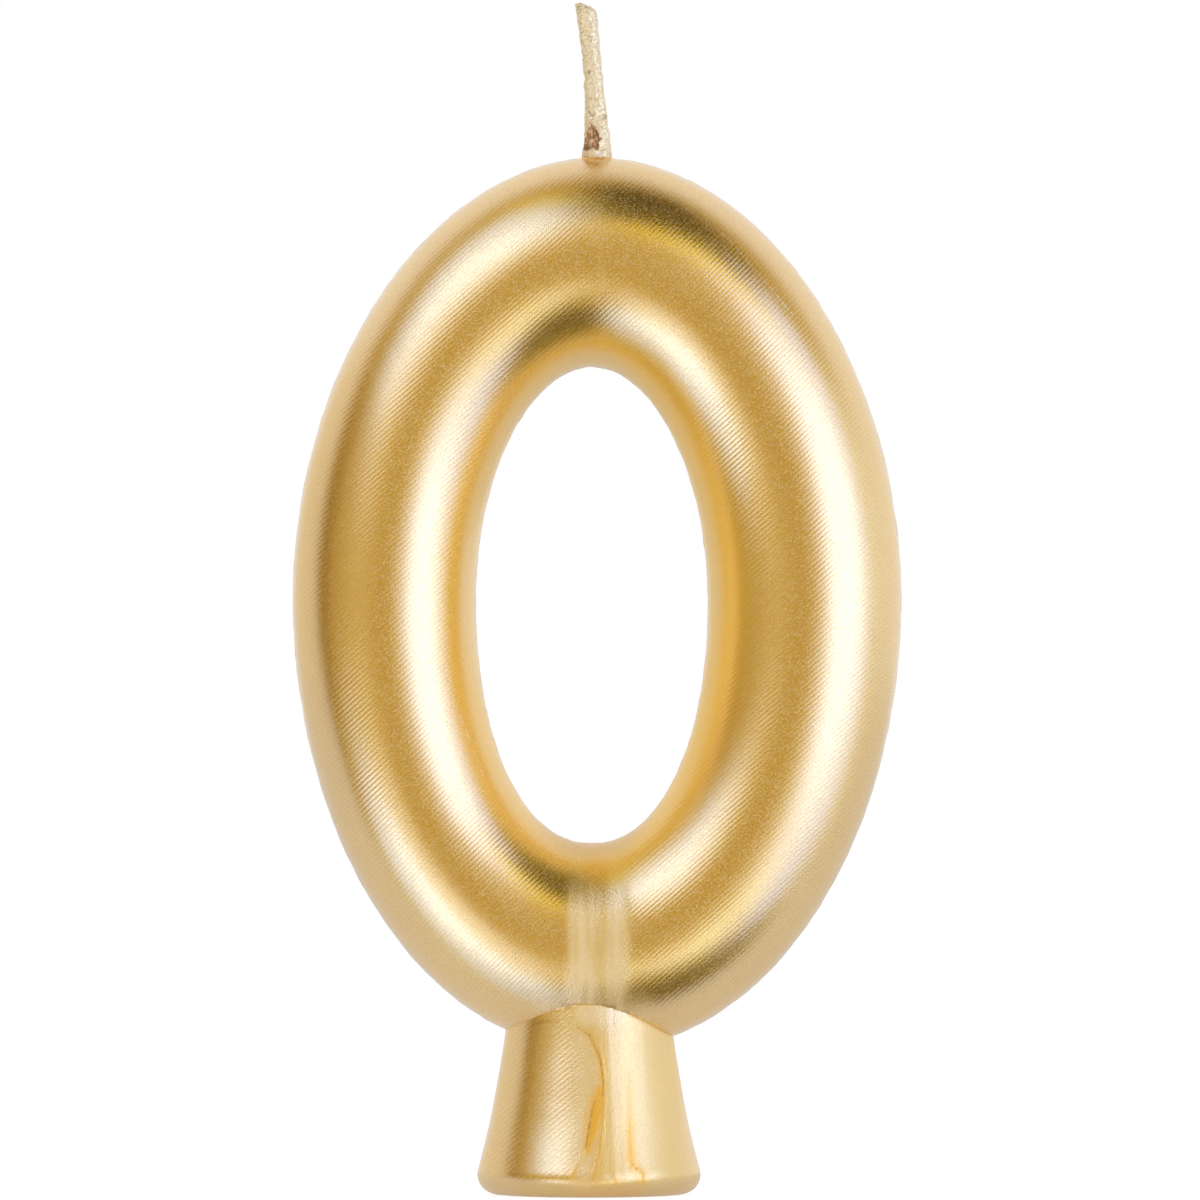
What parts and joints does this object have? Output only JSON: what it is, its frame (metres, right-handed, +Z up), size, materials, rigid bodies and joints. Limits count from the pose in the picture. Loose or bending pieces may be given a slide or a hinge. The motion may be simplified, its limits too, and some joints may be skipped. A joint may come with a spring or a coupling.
{
  "type": "number candle",
  "caption": "Moulded candle shaped as the numeral zero: a gold-skinned wax ring on a flared round foot, with a braided cotton wick standing from the crown.",
  "frame": {"origin": "under the middle of the ring, on the plane that the foot stands on", "axes": "+X across the numeral to the viewer's right, +Y from the front to the back, +Z up towards the wick"},
  "size_m": [0.044, 0.016, 0.0862],
  "materials": {
    "gold_lacquer": "metallic gold lacquer over a thin wax skin, glossy, with fine slanting ridges from the mould",
    "wax": "pale yellowish paraffin, satin, slightly translucent",
    "wick_cotton": "braided cotton stiffened with wax and dusted with gold, rough"
  },
  "bodies": {
    "root": {"gold_skin": "gold_lacquer", "wax_body": "wax", "upper_wick_ply_1": "wick_cotton", "upper_wick_ply_2": "wick_cotton", "upper_wick_ply_3": "wick_cotton", "lower_wick_ply_1": "wick_cotton", "lower_wick_ply_2": "wick_cotton", "lower_wick_ply_3": "wick_cotton"}
  },
  "joints": []
}
